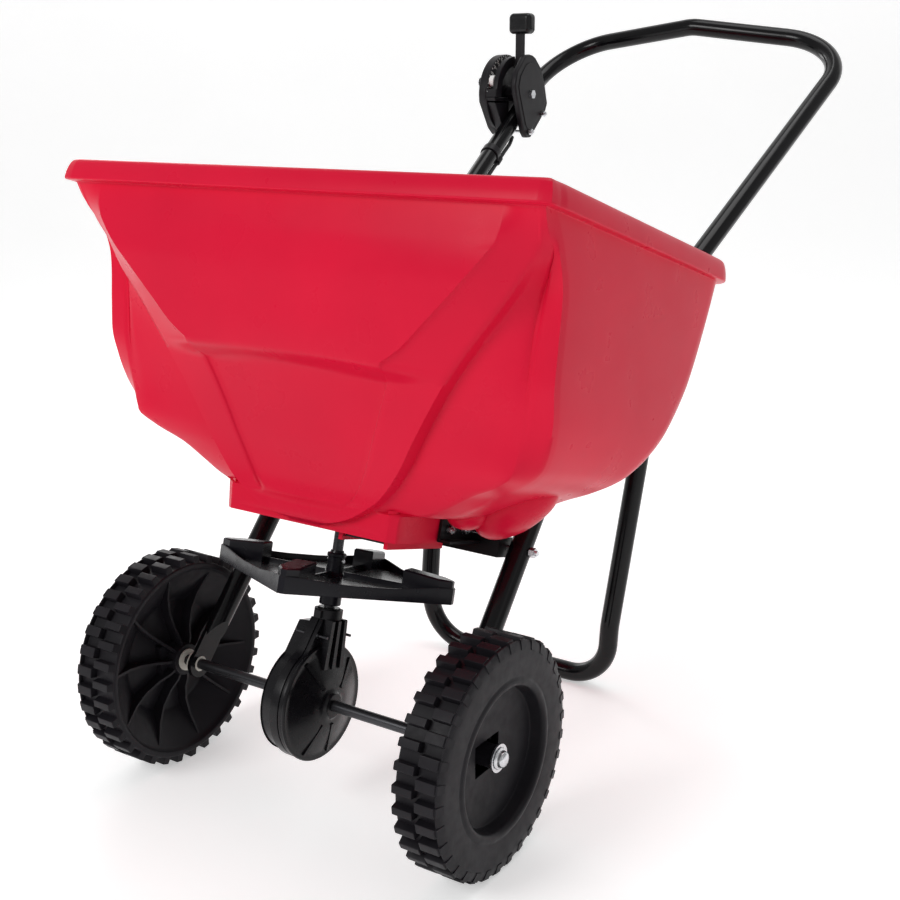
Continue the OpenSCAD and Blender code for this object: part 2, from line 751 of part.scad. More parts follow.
module pinion() {
    color("#c9b48a") level() difference() {
        union() {
            translate([0, 0, pinion_low]) linear_extrude(7.6) rotate([0, 0, 180])
                polygon(toothed(pinion_teeth, 8, pinion_tip, 2.2));
            translate([0, 0, pinion_low]) cylinder(r = 8.6, h = 11);
        }
        cylinder(r = shaft_r + 0.02, h = 100);
    }
}

// One of the four fins: low near the hub, a thick block at the plate's corner
module fin() {
    translate([0, 0, plate_w - 0.5]) {
        translate([28, -1.5, 0]) cube([60, 3, 7]);
        linear_extrude(12) polygon([[84, -3], [138, -12], [138, 12], [84, 3]]);
    }
}

module impeller() {
    skirt = impeller_edge;
    side_r = impeller_r - 6;
    color("#232428") level() rotate([0, 0, 15]) difference() {
        union() {
            translate([0, 0, plate_w - skirt]) linear_extrude(skirt) plate_outline(side_r, 6);
            translate([0, 0, neck_top + 2.5]) cylinder(r = 12, h = 60);
            translate([0, 0, plate_w - 1]) cylinder(r = 9.5, h = 13);
            for (a = [0:90:270]) rotate([0, 0, a]) fin();
        }
        difference() {
            translate([0, 0, plate_w - skirt - 1]) linear_extrude(skirt - 3)
                plate_outline(side_r - 4, 5);
            cylinder(r = 12, h = 300);
        }
        cylinder(r = shaft_r + 0.02, h = 300);
        translate([0, 0, plate_w + 6]) rotate([0, 90, -15]) cylinder(r = 2.05, h = 40, center = true);
    }
}

// Square plate with its corners at distance r and cut back by c
module plate_outline(r, c) {
    polygon([for (a = [0:90:270]) for (s = [-1, 1])
             [r * cos(a) - s * c * sin(a), r * sin(a) + s * c * cos(a)] * (1 + c / r)]);
}

module impeller_pin() {
    color("silver") level() translate([0, 0, plate_w + 6]) rotate([0, 90, 0])
        cylinder(r = 2, h = 22, center = true);
}

module agitator() {
    color("silver") level() translate([0, 0, shaft_top - 8]) rotate([0, 90, 0])
        cylinder(r = 2.5, h = 84, center = true);
}

// Rate control

module at_pivot(x) placed() translate([x, pivot[1], pivot[2]]) rotate([90, 0, 90]) children();

// Round above the pivot, tapering to a point below it; first coordinate is back, second up
module housing_outline() {
    circle(r = dial_r);
    polygon([[-dial_r, 0], [-dial_r + 1, -12], [-34, -52], [-20, -62], [2, -62], [54, -24],
             [dial_r - 2, 0]]);
}

module cover_outline() {
    polygon([[-20, 56], [-4, 60], [14, 55], [32, 40], [44, 16], [54, -14], [48, -26], [2, -66],
             [-12, -66], [-20, -58], [-44, 0], [-48, 14], [-42, 34]]);
}

// Block that takes one side of the leg, from x0 for a length dx
module clamp_block(x0, dx) {
    s = (pivot[1] - knee[1]) / leg_dir[1];
    placed() difference() {
        translate([x0, 0, 0]) intersection() {
            translate([0, pivot[1], pivot[2]]) rotate([90, 0, 90])
                linear_extrude(dx) translate([-30, -62]) square([70, 62]);
            multmatrix(axes([0, leg_point(s)[1], leg_point(s)[2]], [1, 0, 0],
                            [0, leg_dir[1], leg_dir[2]] / norm([leg_dir[1], leg_dir[2]]), leg_up))
                translate([-1, -40, -26]) cube([dx + 2, 80, 32]);
        }
        rod(leg_point(s - 80), leg_point(s + 80), tube_r + 0.05);
    }
}

module clamp_holes() {
    placed() for (p = clamp_screws) translate([-300, p[0], p[1]]) rotate([0, 90, 0])
        cylinder(r = 2.6, h = 120);
}

module dial_housing() {
    color("#1d1e21") difference() {
        union() {
            at_pivot(dial_outer_x) linear_extrude(dial_inner_x - dial_outer_x) housing_outline();
            at_pivot(dial_inner_x - 0.5) cylinder(r = 11, h = 5);
            clamp_block(dial_inner_x - 0.5, 17);
        }
        at_pivot(dial_outer_x - 1)
            rotate_extrude(angle = slot_sweep + 8, start = 90 + stop_angle - slot_sweep - 4)
                translate([slot_r - 2.2, 0]) square([4.4, 30]);
        at_pivot(dial_outer_x - 5) cylinder(r = 4.05, h = 60);
        clamp_holes();
        placed() rod(leg_point(500), leg_point(800), tube_r + 0.05);
    }
}

module dial_cover() {
    color("#26272b") difference() {
        union() {
            at_pivot(cover_inner_x) linear_extrude(7) cover_outline();
            at_pivot(cover_inner_x + 7) linear_extrude(3, scale = 0.86) cover_outline();
            at_pivot(cover_inner_x - 5.3) cylinder(r = 11, h = 6);
            clamp_block(-233, cover_inner_x + 233.5);
        }
        at_pivot(dial_outer_x - 5) cylinder(r = 4.05, h = 100);
        clamp_holes();
        placed() rod(leg_point(500), leg_point(800), tube_r + 0.05);
    }
}

// Flat ring that carries the scale, on the housing's rim
module dial_scale() {
    color("#e8e8e6") at_pivot(dial_inner_x + 0.05)
        rotate_extrude(angle = 124, start = 50) translate([dial_r - 12, 0]) square([11, 0.8]);
}

module dial_bolts() {
    color("silver") placed() for (p = clamp_screws) translate([0, p[0], p[1]])
        bolt_x(dial_outer_x - 0.3, cover_outer_x + 8.2, 2.5);
}

module pivot_bolt() {
    color("silver") at_pivot(0) {
        translate([0, 0, dial_outer_x - 1]) cylinder(r = 3.9, h = 64);
        translate([0, 0, dial_outer_x - 4.2]) cylinder(r = 7, h = 4);
        translate([0, 0, cover_outer_x + 0.2]) cylinder(r = 7, h = 4, $fn = 6);
    }
}

module lever_arm() {
    color("#1d1e21") at_pivot(lever_x) difference() {
        union() {
            cylinder(r = 12, h = 24);
            translate([-5, 0, 13]) cube([10, lever_h - 12, 11]);
        }
        translate([0, 0, -1]) cylinder(r = 3.9 + fit, h = 40);
    }
}

module lever_knob() {
    color("#16171a") at_pivot(lever_x + 18.5) difference() {
        translate([0, lever_h, 0]) rotate([0, 90, 0]) hull()
            for (i = [-1, 1]) for (j = [-1, 1]) translate([i * 10, j * 8, 0])
                cylinder(r = 8, h = 24, center = true, $fn = 32);
        translate([-5.05, 0, -5.55]) cube([10.1, lever_h - 11.95, 11.1]);
    }
}

module rate_stop() {
    color("#e8e8e6") at_pivot(dial_inner_x + 1) rotate([0, 0, 90 + stop_angle])
        translate([slot_r + 5, 0, 0]) cylinder(r = 8.5, h = 7);
    color("#e8e8e6") at_pivot(dial_outer_x - 8) rotate([0, 0, 90 + stop_angle])
        translate([slot_r, 0, 0]) cylinder(r = 1.9, h = dial_inner_x - dial_outer_x + 10);
}

module stop_nut() {
    color("#2b2c30") at_pivot(dial_outer_x - 6.2) rotate([0, 0, 90 + stop_angle])
        translate([slot_r, 0, 0]) difference() {
            linear_extrude(6) polygon(toothed(16, 6.5, 7.5, 1.6));
            translate([0, 0, -1]) cylinder(r = 1.92, h = 20);
        }
}

main_tube_left();
main_tube_right();
handle_tube();
stand_tube();
hopper_support();
saddle_left();
saddle_right();
handle_bolts();
stand_bolts();
support_bolts();
hopper_bolts();
hopper();
guide_rail_inner();
guide_rail_outer();
shaft_bushing();
gearcase_left();
gearcase_right();
gearcase_screws();
gearcase_collar();
axle_bearing_left();
axle_bearing_right();
dial_housing();
dial_cover();
dial_scale();
dial_bolts();
pivot_bolt();
control_cable();
cable_ferrule();
cable_clips();
axle();
ring_gear();
gear_pin();
wheel_right();
drive_pin();
washer_left();
washer_right();
cap_nut_left();
cap_nut_right();
wheel_left();
wheel_bushing();
impeller_shaft();
pinion();
impeller();
impeller_pin();
agitator();
slide_plate();
pull_wire();
lever_arm();
lever_knob();
rate_stop();
stop_nut();
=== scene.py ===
"""Looks for a walk-behind garden spreader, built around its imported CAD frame.

Sizes are in millimetres until a place function turns them into metres of the row frame.
"""
import bpy
import bmesh
import json
import math
from mathutils import Matrix, Vector


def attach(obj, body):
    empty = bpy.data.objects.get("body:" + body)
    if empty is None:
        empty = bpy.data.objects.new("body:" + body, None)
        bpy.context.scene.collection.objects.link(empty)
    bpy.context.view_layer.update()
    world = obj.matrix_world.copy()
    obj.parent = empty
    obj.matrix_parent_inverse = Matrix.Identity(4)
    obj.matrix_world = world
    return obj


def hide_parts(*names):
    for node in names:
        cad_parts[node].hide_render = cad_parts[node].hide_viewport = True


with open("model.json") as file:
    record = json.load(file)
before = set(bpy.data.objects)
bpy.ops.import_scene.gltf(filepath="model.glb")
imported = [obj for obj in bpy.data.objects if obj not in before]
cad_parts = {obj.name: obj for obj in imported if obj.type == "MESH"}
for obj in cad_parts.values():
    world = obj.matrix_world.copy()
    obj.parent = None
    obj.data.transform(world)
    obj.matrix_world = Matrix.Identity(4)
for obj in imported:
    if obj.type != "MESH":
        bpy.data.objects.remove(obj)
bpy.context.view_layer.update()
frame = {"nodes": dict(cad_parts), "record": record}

LEAN = math.radians(15.5)
MIDDLE_Y = 426.718
AXLE_Z = 127.0


# Places

def on_axle(x, y, z):
    """Row-frame metres of a place given from the axle (y) and the ground (z)."""
    return Vector((x, y - MIDDLE_Y, z)) / 1000


def level(x, v, w):
    """Row-frame metres of a place in the hopper's leaning frame: x, back and up from the axle."""
    y = v * math.cos(LEAN) + w * math.sin(LEAN)
    z = w * math.cos(LEAN) - v * math.sin(LEAN) + AXLE_Z
    return on_axle(x, y, z)


# Materials

class Surface:
    """A Principled material whose colour, roughness and bump vary over the surface."""

    def __init__(self, name, colour, roughness, metallic=0.0, specular=0.5):
        self.material = bpy.data.materials.new(name)
        self.material.use_nodes = True
        self.nodes = self.material.node_tree.nodes
        self.links = self.material.node_tree.links
        self.shader = self.nodes["Principled BSDF"]
        self.place = self.nodes.new("ShaderNodeTexCoord").outputs["Object"]
        self.colour = colour
        self.roughness = roughness
        self.shader.inputs["Metallic"].default_value = metallic
        self.shader.inputs["Specular IOR Level"].default_value = specular

    def noise(self, scale, detail, stretch):
        node = self.nodes.new("ShaderNodeTexNoise")
        node.inputs["Scale"].default_value = scale
        node.inputs["Detail"].default_value = detail
        place = self.place
        if stretch:
            mapping = self.nodes.new("ShaderNodeMapping")
            mapping.inputs["Scale"].default_value = stretch
            self.links.new(place, mapping.inputs["Vector"])
            place = mapping.outputs["Vector"]
        self.links.new(place, node.inputs["Vector"])
        return node.outputs["Fac"]

    def spread(self, value, low, high):
        """Stretches the middle of a noise value over low to high."""
        node = self.nodes.new("ShaderNodeMapRange")
        node.inputs["From Min"].default_value = 0.3
        node.inputs["From Max"].default_value = 0.7
        node.inputs["To Min"].default_value = low
        node.inputs["To Max"].default_value = high
        self.links.new(value, node.inputs["Value"])
        return node.outputs["Result"]

    def mottle(self, scale, amount, stretch=None):
        """Colour that drifts by a share either way over patches."""
        mix = self.nodes.new("ShaderNodeMix")
        mix.data_type = "RGBA"
        mix.inputs["A"].default_value = [c * (1 - amount) for c in self.colour] + [1]
        mix.inputs["B"].default_value = [min(1, c * (1 + amount)) for c in self.colour] + [1]
        fac = self.spread(self.noise(scale, 5.0, stretch), 0.0, 1.0)
        self.links.new(fac, mix.inputs["Factor"])
        self.links.new(mix.outputs["Result"], self.shader.inputs["Base Color"])
        return self

    def gloss(self, scale, amount, stretch=None):
        """Roughness that drifts either way over patches."""
        value = self.spread(self.noise(scale, 4.0, stretch), self.roughness - amount,
                            self.roughness + amount)
        self.links.new(value, self.shader.inputs["Roughness"])
        return self

    def grain(self, scale, strength, depth, stretch=None):
        """Fine relief of a given depth in metres."""
        bump = self.nodes.new("ShaderNodeBump")
        bump.inputs["Strength"].default_value = strength
        bump.inputs["Distance"].default_value = depth
        self.links.new(self.noise(scale, 2.0, stretch), bump.inputs["Height"])
        self.links.new(bump.outputs["Normal"], self.shader.inputs["Normal"])
        return self


def moulded(name, colour, roughness, specular=0.25, grain=0.25):
    """Moulded plastic with a fine texture."""
    surface = Surface(name, colour, roughness, specular=specular)
    return surface.mottle(9, 0.12).gloss(60, 0.05).grain(1400, grain, 0.00012).material


def plated(name, colour, roughness):
    """Zinc plate, brighter and duller in small patches."""
    surface = Surface(name, colour, roughness, metallic=1.0)
    return surface.mottle(160, 0.1).gloss(420, 0.08).grain(900, 0.15, 0.00005).material


def coated(name, colour, roughness, specular):
    """Powder coat with a faint orange peel."""
    surface = Surface(name, colour, roughness, specular=specular)
    return surface.mottle(14, 0.15).gloss(40, 0.04).grain(520, 0.12, 0.00008).material


red = Surface("hopper_red", (0.66, 0.008, 0.038), 0.3, specular=0.1)
red.mottle(5, 0.06).gloss(24, 0.04).grain(380, 0.1, 0.0001)
slate = Surface("wheel_black", (0.011, 0.0098, 0.0125), 0.44, specular=0.16)
slate.mottle(22, 0.2).gloss(90, 0.07).grain(900, 0.3, 0.00012)
drawn = Surface("axle_steel", (0.055, 0.055, 0.06), 0.3, metallic=0.75)
drawn.mottle(60, 0.25, (0.05, 1, 1)).gloss(300, 0.08, (0.02, 1, 1))
drawn.grain(700, 0.2, 0.00004, (0.02, 1, 1))

looks = {
    "hopper_red": red.material,
    "tube_black": coated("tube_black", (0.0035, 0.0033, 0.004), 0.16, 0.24),
    "bracket_black": coated("bracket_black", (0.006, 0.006, 0.007), 0.34, 0.22),
    "plastic_black": moulded("plastic_black", (0.009, 0.008, 0.010), 0.4, 0.25),
    "wheel_black": slate.material,
    "impeller_black": moulded("impeller_black", (0.008, 0.0075, 0.011), 0.24, 0.24, 0.06),
    "case_black": moulded("case_black", (0.006, 0.0055, 0.007), 0.26, 0.25, 0.06),
    "zinc": plated("zinc", (0.66, 0.67, 0.69), 0.28),
    "axle_steel": drawn.material,
    "nylon": moulded("nylon", (0.62, 0.60, 0.54), 0.45),
    "gear_nylon": moulded("gear_nylon", (0.58, 0.47, 0.30), 0.42),
    "white_plastic": moulded("white_plastic", (0.82, 0.82, 0.81), 0.38),
    "sheath_black": moulded("sheath_black", (0.006, 0.006, 0.007), 0.4, 0.25),
}
knob_black = moulded("knob_black", (0.004, 0.004, 0.005), 0.25, 0.35, 0.08)

slot_of = {part["node"]: part["material_slot"] for part in frame["record"]["subparts"]}
for node, obj in frame["nodes"].items():
    obj.data.materials.clear()
    obj.data.materials.append(looks[slot_of[node]])
for node, look in (("dial_scale", "plastic_black"), ("gearcase_screws", "axle_steel")):
    frame["nodes"][node].data.materials[0] = looks[look]


# Meshes

def new_mesh(name, points, faces, material):
    mesh = bpy.data.meshes.new(name)
    mesh.from_pydata([tuple(p) for p in points], [], faces)
    mesh.materials.append(material)
    obj = bpy.data.objects.new(name, mesh)
    bpy.context.scene.collection.objects.link(obj)
    return obj


def tidy_faces(obj, merge=0.00002):
    """Merges doubled points and turns every face outward."""
    bm = bmesh.new()
    bm.from_mesh(obj.data)
    bmesh.ops.remove_doubles(bm, verts=bm.verts, dist=merge)
    bmesh.ops.recalc_face_normals(bm, faces=bm.faces)
    bm.to_mesh(obj.data)
    bm.free()
    return obj


def shade(obj, angle):
    """Smooth shading with edges sharper than angle, in degrees, kept crisp."""
    obj.data.shade_smooth()
    obj.data.set_sharp_from_angle(angle=math.radians(angle))
    return obj


def weighted(obj):
    modifier = obj.modifiers.new("weighted", "WEIGHTED_NORMAL")
    modifier.keep_sharp = True
    return obj


def rounded(obj, width, segments=3, angle=35):
    """Rounds every edge sharper than angle, for real."""
    modifier = obj.modifiers.new("rounded", "BEVEL")
    modifier.width = width / 1000
    modifier.segments = segments
    modifier.limit_method = "ANGLE"
    modifier.angle_limit = math.radians(angle)
    obj.data.shade_smooth()
    return weighted(obj)


def apply_modifiers(obj):
    graph = bpy.context.evaluated_depsgraph_get()
    mesh = bpy.data.meshes.new_from_object(obj.evaluated_get(graph))
    obj.modifiers.clear()
    obj.data = mesh
    return obj


def cut(obj, tools):
    """Takes the tools' space out of the object, for good."""
    for tool in tools:
        modifier = obj.modifiers.new("cut", "BOOLEAN")
        modifier.operation = "DIFFERENCE"
        modifier.solver = "EXACT"
        modifier.object = tool
    bpy.context.view_layer.update()
    apply_modifiers(obj)
    for tool in tools:
        bpy.data.objects.remove(tool)
    return obj


def join_meshes(name, objects):
    """One object of all the objects' faces."""
    bm = bmesh.new()
    for obj in objects:
        bm.from_mesh(obj.data)
    mesh = bpy.data.meshes.new(name)
    bm.to_mesh(mesh)
    bm.free()
    mesh.materials.append(objects[0].data.materials[0])
    result = bpy.data.objects.new(name, mesh)
    bpy.context.scene.collection.objects.link(result)
    for obj in objects:
        bpy.data.objects.remove(obj)
    return result


def ring_points(centre, axis_u, axis_v, radius, count):
    """Evenly spaced places round a circle, in metres."""
    turns = [2 * math.pi * i / count for i in range(count)]
    return [centre + axis_u * (radius * math.cos(t)) + axis_v * (radius * math.sin(t)) for t in turns]


def cylinder(name, start, end, radius, count, material):
    """Closed round bar between two places, in metres."""
    way = (end - start).normalized()
    side = way.orthogonal().normalized()
    points = []
    for place in (start, end):
        points += ring_points(place, side, way.cross(side), radius, count)
    faces = [(i, (i + 1) % count, count + (i + 1) % count, count + i) for i in range(count)]
    faces += [tuple(range(count))[::-1], tuple(range(count, 2 * count))]
    return new_mesh(name, points, faces, material)


def lathe(name, profile, place, count, material):
    """Turns a closed profile of (radius, along) about an axis; place gives metres for (along, a, b)."""
    points = []
    for i in range(count):
        turn = 2 * math.pi * i / count
        points += [place(along, r * math.cos(turn), r * math.sin(turn)) for r, along in profile]
    n = len(profile)
    faces = []
    for i in range(count):
        here = i * n
        there = ((i + 1) % count) * n
        faces += [(here + k, here + (k + 1) % n, there + (k + 1) % n, there + k) for k in range(n)]
    return new_mesh(name, points, faces, material)


def solid_through(name, rows, material):
    """Closed solid through rows of places in metres, all of one length, with a cap at each end."""
    n = len(rows[0])
    points = [place for row in rows for place in row]
    faces = [tuple(range(n)), tuple(range((len(rows) - 1) * n, len(rows) * n))[::-1]]
    for k in range(len(rows) - 1):
        faces += [(k * n + i, (k + 1) * n + i, (k + 1) * n + (i + 1) % n, k * n + (i + 1) % n)
                  for i in range(n)]
    return tidy_faces(new_mesh(name, points, faces, material))


BOX_FACES = [(0, 1, 2, 3), (7, 6, 5, 4), (0, 4, 5, 1), (1, 5, 6, 2), (2, 6, 7, 3), (3, 7, 4, 0)]


def curve_through(rows):
    """Smooth curve through rows of (place, value), that never swings past them."""
    xs = [row[0] for row in rows]
    ys = [row[1] for row in rows]
    slope = [(ys[i + 1] - ys[i]) / (xs[i + 1] - xs[i]) for i in range(len(xs) - 1)]
    lean = [slope[0]]
    for a, b in zip(slope, slope[1:]):
        lean.append(0.0 if a * b <= 0 else 2 * a * b / (a + b))
    lean.append(slope[-1])

    def at(x):
        x = min(max(x, xs[0]), xs[-1])
        i = max(k for k in range(len(xs) - 1) if xs[k] <= x)
        gap = xs[i + 1] - xs[i]
        t = (x - xs[i]) / gap
        start = (2 * t ** 3 - 3 * t ** 2 + 1) * ys[i] + (t ** 3 - 2 * t ** 2 + t) * gap * lean[i]
        return start + (3 * t ** 2 - 2 * t ** 3) * ys[i + 1] + (t ** 3 - t ** 2) * gap * lean[i + 1]

    return at


def paths_through(rows):
    """Two curves for rows of (w, x, v)."""
    across = curve_through([(w, x) for w, x, v in rows])
    back = curve_through([(w, v) for w, x, v in rows])
    return lambda w: (across(w), back(w))


def ease(low, high, x):
    """0 below low, 1 above high, and a smooth rise between them."""
    t = min(max((x - low) / (high - low), 0.0), 1.0)
    return t * t * (3 - 2 * t)


# Hopper: each level is one outline, through control places that follow the moulded features

FLOOR = 199.0
RIM = 532.0
WALL = 4.0
SHAFT_HOLE_R = 9.05
DROP_HOLE_R = 7.5
DROP_HOLE_V = 10
DROP_HOLE_X = (52.5, 70, 87.5)
# The inner skin stops this many levels below the rim
INNER_SHORT = 6
# Swellings under the pouch: x, v, reach in x, reach in v and depth, each made on both sides
LOBES = [(184, 56, 46, 38, 27), (148, 24, 24, 22, 12)]
centre_front = curve_through([
    (199, -65), (202, -66), (205.5, -73), (212, -74.5), (222, -75), (228, -72), (240, -72.5),
    (262, -79), (290, -92), (318, -104), (345, -117), (360, -125), (366, -129), (370, -135),
    (374, -144), (378, -149), (382, -151), (425, -163), (470, -174), (500, -178), (532, -178)])
panel_edge = paths_through([
    (378, 127, -151), (393.5, 150.6, -155), (412.5, 170.6, -160), (431, 190, -165),
    (449, 208.7, -170), (467, 227, -175), (485, 242.7, -177), (500.6, 253, -177.5),
    (515, 254, -178), (532, 254, -178)])
sweep_edge = paths_through([
    (199, 18, -65), (202, 20, -66), (205.5, 30, -73), (209, 46, -75), (217, 66, -76),
    (228, 84, -78), (241.5, 101, -80), (273, 125, -88.2), (306, 144.4, -99.2), (338, 164.4, -109.7),
    (368.5, 185.3, -120.5), (397, 207, -128.7), (423, 228.6, -135), (449, 250, -142),
    (475, 268, -147), (497, 283, -156), (515, 288, -168), (532, 290, -178)])
sweep_step = curve_through([
    (199, 0), (202, 0), (205.5, 8), (217, 10), (240, 12), (300, 14), (369, 14), (450, 13), (480, 9),
    (500, 3), (512, 0), (532, 0)])
wing_line = paths_through([
    (199, 106, -65), (228, 108, -66), (231, 135, -48), (245, 165, -52), (262, 196, -60),
    (275, 228, -72), (290, 250, -84), (320, 257, -89), (364, 264, -99), (412, 267, -107),
    (460, 273, -114), (495, 288, -136), (515, 294, -164), (532, 296.5, -177)])
corner_line = paths_through([
    (199, 115.5, -58), (228, 117.5, -60), (231, 150, -25), (245, 182, -30), (262, 212, -38),
    (275, 240, -50), (290, 263, -58), (300, 272, -62), (325, 284, -76), (350, 290, -88),
    (377, 292.5, -100), (409, 293.5, -106), (462, 295, -116), (508, 297, -145), (532, 298, -168)])
rear_line = curve_through([
    (199, 72), (228, 74), (231, 100), (252, 140), (288, 170), (359, 230), (415, 262), (476, 275),
    (532, 280)])
rear_round = curve_through([(199, 6), (228, 8), (245, 40), (290, 60), (400, 57), (532, 48)])
tube_x = curve_through([(0, 178), (324, 172), (476, 191), (600, 206)])
TUBE_BACK = [(0.0, 0.0), (324.0, 159.0), (560.0, 379.0)]


def tube_back(w):
    """How far back the frame tube's centre line is at a level."""
    for (w0, v0), (w1, v1) in zip(TUBE_BACK, TUBE_BACK[1:]):
        if w <= w1:
            return v0 + (v1 - v0) * (w - w0) / (w1 - w0)
    return TUBE_BACK[-1][1]


def softer_of(a, b, width):
    """The smaller of a and b, blended where they are close."""
    mix = min(max(0.5 + 0.5 * (b - a) / width, 0.0), 1.0)
    return b + (a - b) * mix - width * mix * (1 - mix)


def steps(p, q, count):
    """Places from p up to but not including q."""
    return [(p[0] + (q[0] - p[0]) * i / count, p[1] + (q[1] - p[1]) * i / count)
            for i in range(count)]


def front_half(w):
    """Outline from the middle of the front to the corner, with the ledge, panel and swept edge."""
    up = ease(360, 378, w)
    fade = 1 - ease(488, 510, w)
    sweep = sweep_edge(w)
    dish = 3 * (1 - up) * ease(224, 236, w)
    middle = centre_front(w) - dish
    low_x = 0.66 * sweep[0]
    low_v = middle + (sweep[1] - middle) * 0.44
    high_x, high_v = panel_edge(max(w, 378))
    high_x = low_x if w < 360 else high_x
    inner = (low_x + (high_x - low_x) * up, low_v + dish + (high_v - low_v - dish) * up)
    step_x = 3.0
    outer = (inner[0] + step_x, inner[1] - dish + 4.5 * up * fade)
    below = (sweep[0] + step_x, sweep[1] + sweep_step(w))
    wing = wing_line(w)
    wing = (max(wing[0], below[0] + 5), wing[1])
    corner = corner_line(w)
    notch = 2.2 * ease(285, 300, w) * fade
    line = []
    for x, v in steps((0, centre_front(w)), inner, 12):
        bow = (x / inner[0]) ** 2
        line.append((x, centre_front(w) + (inner[1] - centre_front(w)) * bow))
    line += steps(inner, outer, 2)
    line += steps(outer, sweep, 8)
    line += steps(sweep, below, 3)
    line += steps(below, wing, 10)
    line.append((wing[0], wing[1] + notch))
    line += steps((wing[0] + 0.12 * (corner[0] - wing[0]), wing[1] + 0.12 * (corner[1] - wing[1])),
                  corner, 5)
    return line


def back_half(w):
    """Outline from the front corner round the side and the back to the middle of the back."""
    corner = corner_line(w)
    rear = rear_line(w)
    turn = rear_round(w)
    side = corner[0] + 1.0
    inset = 4 * ease(290, 400, w)
    line = steps(corner, (side, corner[1] + 12), 3)
    line += steps((side, corner[1] + 12), (side - inset, rear - turn), 12)
    for i in range(11):
        angle = math.pi / 2 * i / 11
        line.append((side - inset - turn + turn * math.cos(angle), rear - turn + turn * math.sin(angle)))
    line += steps((side - inset - turn, rear), (0, rear), 38)
    line.append((0, rear))
    shaped = []
    for x, v in line:
        groove = tube_back(w) - 23 + (x - tube_x(w)) ** 2 / 20
        shaped.append((x, softer_of(v, groove, 5) if v > (corner[1] + rear) / 2 else v))
    return shaped


def half_outline(w):
    return front_half(w) + back_half(w)


def mirrored(line):
    """The whole outline from its right half, whose first and last places are on the middle."""
    return line + [(-x, v) for x, v in line[-2:0:-1]]


def outward(line):
    """Way out of each place of a closed outline, long enough at a corner to keep the wall's thickness."""
    ways = []
    for i, place in enumerate(line):
        before = line[i - 1]
        after = line[(i + 1) % len(line)]
        arriving = Vector((place[1] - before[1], before[0] - place[0])).normalized()
        leaving = Vector((after[1] - place[1], place[0] - after[0])).normalized()
        way = (arriving + leaving).normalized()
        ways.append(way / max(0.8, way.dot(leaving)))
    return ways


def hopper_levels():
    fine = [199, 199.6, 201, 203, 204.5, 206, 208, 211, 214, 218, 222, 226, 227.5, 229, 230.5, 232,
            234, 237, 240, 243, 246]
    middle = [250 + 4.0 * i for i in range(28)]
    ledge = [361, 364, 366.5, 369, 371, 373, 375, 377, 379, 381, 384, 388]
    upper = [393 + 5.0 * i for i in range(21)]
    return fine + middle + ledge + upper + [497, 501, 505, 509, 513, 517, 521, 525, 529, 531]


def hopper_floor():
    """Flat floor inside the foot, with the shaft's hole and the three drop holes."""
    outline = mirrored(half_outline(FLOOR))
    ways = outward(outline)
    count = len(outline)
    points = []
    for w in (FLOOR + 0.05, FLOOR + WALL - 0.05):
        points += [level(x - way.x * 2, v - way.y * 2, w) for (x, v), way in zip(outline, ways)]
    faces = [tuple(range(count)), tuple(range(count, 2 * count))[::-1]]
    faces += [(i, (i + 1) % count, count + (i + 1) % count, count + i) for i in range(count)]
    floor = tidy_faces(new_mesh("hopper_floor", points, faces, looks["hopper_red"]))
    tools = []
    holes = [(0, 0, SHAFT_HOLE_R)] + [(x, DROP_HOLE_V, DROP_HOLE_R) for x in DROP_HOLE_X]
    for x, v, radius in holes:
        tools.append(cylinder("hole", level(x, v, FLOOR - 3), level(x, v, FLOOR + 8), radius / 1000, 40,
                              looks["hopper_red"]))
    return cut(floor, tools)


def pouch_w(x):
    """Level of the pouch's underside at a distance from the middle."""
    low, high = 228.0, 290.0
    for _ in range(24):
        half = (low + high) / 2
        low, high = (half, high) if corner_line(half)[0] < abs(x) else (low, half)
    return low


def lobe(x, v, reach_x, reach_v, depth):
    """A rounded swelling under the pouch, whose top is buried in the wall."""
    rings, count = 12, 48
    points = [level(x, v, pouch_w(x) - depth), level(x, v, pouch_w(x) + 1.5)]
    for side in (0, 1):
        for k in range(1, rings + 1):
            share = math.sin(math.pi / 2 * k / rings)
            for i in range(count):
                turn = 2 * math.pi * i / count
                a = x + reach_x * share * math.cos(turn)
                b = v + reach_v * share * math.sin(turn)
                drop = depth * (1 - share ** 2.4) ** 0.62 if side == 0 else -1.5
                points.append(level(a, b, pouch_w(a) - drop))
    faces = []
    for side in (0, 1):
        start = 2 + side * rings * count
        for i in range(count):
            j = (i + 1) % count
            faces.append((side, start + i, start + j))
            for k in range(rings - 1):
                here = start + k * count
                faces.append((here + i, here + count + i, here + count + j, here + j))
    low_edge = 2 + (rings - 1) * count
    high_edge = low_edge + rings * count
    faces += [(low_edge + i, high_edge + i, high_edge + (i + 1) % count, low_edge + (i + 1) % count)
              for i in range(count)]
    return tidy_faces(new_mesh("lobe", points, faces, looks["hopper_red"]))


